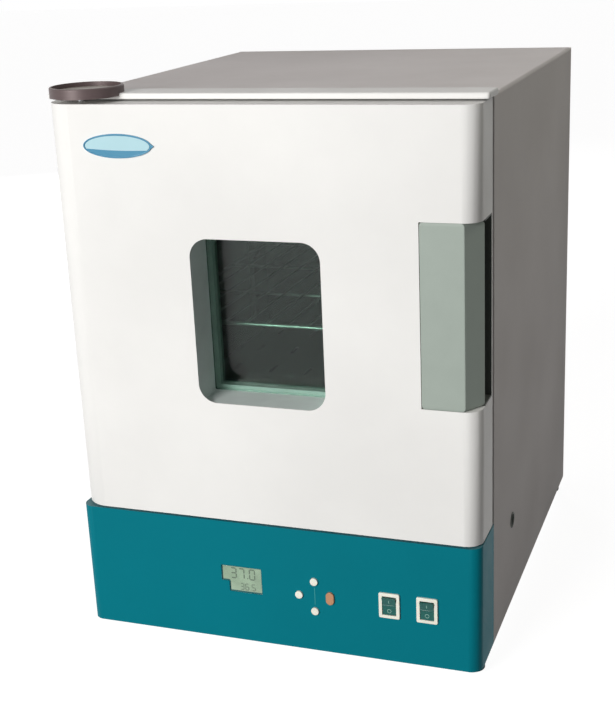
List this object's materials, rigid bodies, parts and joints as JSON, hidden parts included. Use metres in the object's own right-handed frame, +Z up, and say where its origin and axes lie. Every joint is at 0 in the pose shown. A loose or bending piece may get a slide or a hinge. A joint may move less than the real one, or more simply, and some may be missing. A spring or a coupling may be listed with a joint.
{
  "type": "laboratory incubator",
  "caption": "Bench incubator with a thick hinged door, small rounded window, recessed grip, low control panel with display, push buttons and rockers, and a heated chamber with wire shelves.",
  "frame": {"origin": "on the floor, below the middle of the whole part's footprint, from the hinge cap's front to the screw heads at the back", "axes": "+X to the right as seen by the user, +Y to the back, +Z up"},
  "size_m": [0.51, 0.604, 0.6755],
  "materials": {
    "door_paint": "semi gloss powder coat",
    "cabinet_paint": "satin powder coat",
    "panel_teal": "satin paint",
    "stainless": "brushed",
    "zinc_steel": "zinc plated",
    "bright_steel": "polished",
    "black_rubber": "matt",
    "grey_rubber": "matt",
    "grip_plastic": "fine texture",
    "dark_plastic": "matt",
    "frame_plastic": "satin",
    "cream_plastic": "satin",
    "orange_plastic": "satin",
    "green_lens": "glossy, translucent",
    "cap_bronze": "spun, darkened",
    "clear_glass": "clear",
    "lens_glass": "frosted",
    "display_face": "clear cover",
    "display_lcd": "liquid crystal",
    "circuit_board": "lacquered",
    "wool": "fibrous",
    "foam": "rigid foam",
    "badge_blue": "glossy",
    "brass_blade": "tinned",
    "bush_plastic": "self lubricating",
    "heat_sink": "anodised"
  },
  "bodies": {
    "cabinet": {"cabinet_wrap": "cabinet_paint", "front_frame": "cabinet_paint", "base_plate": "zinc_steel", "rear_panel": "cabinet_paint", "rear_screws": "bright_steel", "feet": "black_rubber", "foot_screws": "zinc_steel", "bay_divider": "zinc_steel", "chamber_liner": "stainless", "chamber_insulation": "wool", "floor_plate": "stainless", "heater_element": "stainless", "shelf_rails": "stainless", "temperature_probe": "stainless", "lamp_socket": "cream_plastic", "lamp_lens": "lens_glass", "wire_shelf_lower": "stainless", "wire_shelf_upper": "stainless", "top_visor": "door_paint", "visor_screws": "bright_steel", "hinge_cap": "cap_bronze", "upper_hinge_pin": "zinc_steel", "lower_hinge_bracket": "zinc_steel", "lower_hinge_pin": "zinc_steel", "bracket_screws": "zinc_steel", "control_fascia": "panel_teal", "display_window": "display_face", "display_module": "display_lcd", "tact_switches": "dark_plastic", "control_board": "circuit_board", "port_sleeve": "dark_plastic", "power_inlet": "dark_plastic", "inlet_blades": "brass_blade", "power_supply": "zinc_steel", "heater_relay": "heat_sink", "terminal_block": "cream_plastic", "switch_housing_power": "cream_plastic", "switch_housing_lamp": "cream_plastic"},
    "door": {"door_skin": "door_paint", "door_liner": "door_paint", "door_insulation": "foam", "window_frame": "frame_plastic", "window_glass_outer": "clear_glass", "window_glass_inner": "clear_glass", "window_spacer": "frame_plastic", "window_bead": "frame_plastic", "door_gasket": "grey_rubber", "handle_grip": "grip_plastic", "handle_pocket": "dark_plastic", "handle_screws": "zinc_steel", "door_bush_upper": "bush_plastic", "door_bush_lower": "bush_plastic", "badge_plate": "badge_blue"},
    "rocker_power": {"rocker_power": "green_lens"},
    "rocker_lamp": {"rocker_lamp": "green_lens"},
    "button_up": {"button_up": "cream_plastic"},
    "button_down": {"button_down": "cream_plastic"},
    "button_left": {"button_left": "cream_plastic"},
    "button_set": {"button_set": "orange_plastic"}
  },
  "joints": [
    {"name": "door_hinge", "type": "hinge", "parent": "cabinet", "child": "door", "pos_m": [-0.216, -0.255, 0.1706], "axis": [0, 0, -1], "range_deg": [0, 135]},
    {"name": "rocker_power_tilt", "type": "hinge", "parent": "cabinet", "child": "rocker_power", "pos_m": [0.143, -0.2895, 0.085], "axis": [-1, 0, 0], "range_deg": [0, 18]},
    {"name": "rocker_lamp_tilt", "type": "hinge", "parent": "cabinet", "child": "rocker_lamp", "pos_m": [0.188, -0.2895, 0.085], "axis": [-1, 0, 0], "range_deg": [0, 18]},
    {"name": "button_up_press", "type": "slide", "parent": "cabinet", "child": "button_up", "axis": [0, 1, 0], "range_m": [0, 0.001], "stiffness_N_per_m": 900},
    {"name": "button_down_press", "type": "slide", "parent": "cabinet", "child": "button_down", "axis": [0, 1, 0], "range_m": [0, 0.001], "stiffness_N_per_m": 900},
    {"name": "button_left_press", "type": "slide", "parent": "cabinet", "child": "button_left", "axis": [0, 1, 0], "range_m": [0, 0.001], "stiffness_N_per_m": 900},
    {"name": "button_set_press", "type": "slide", "parent": "cabinet", "child": "button_set", "axis": [0, 1, 0], "range_m": [0, 0.001], "stiffness_N_per_m": 900}
  ]
}
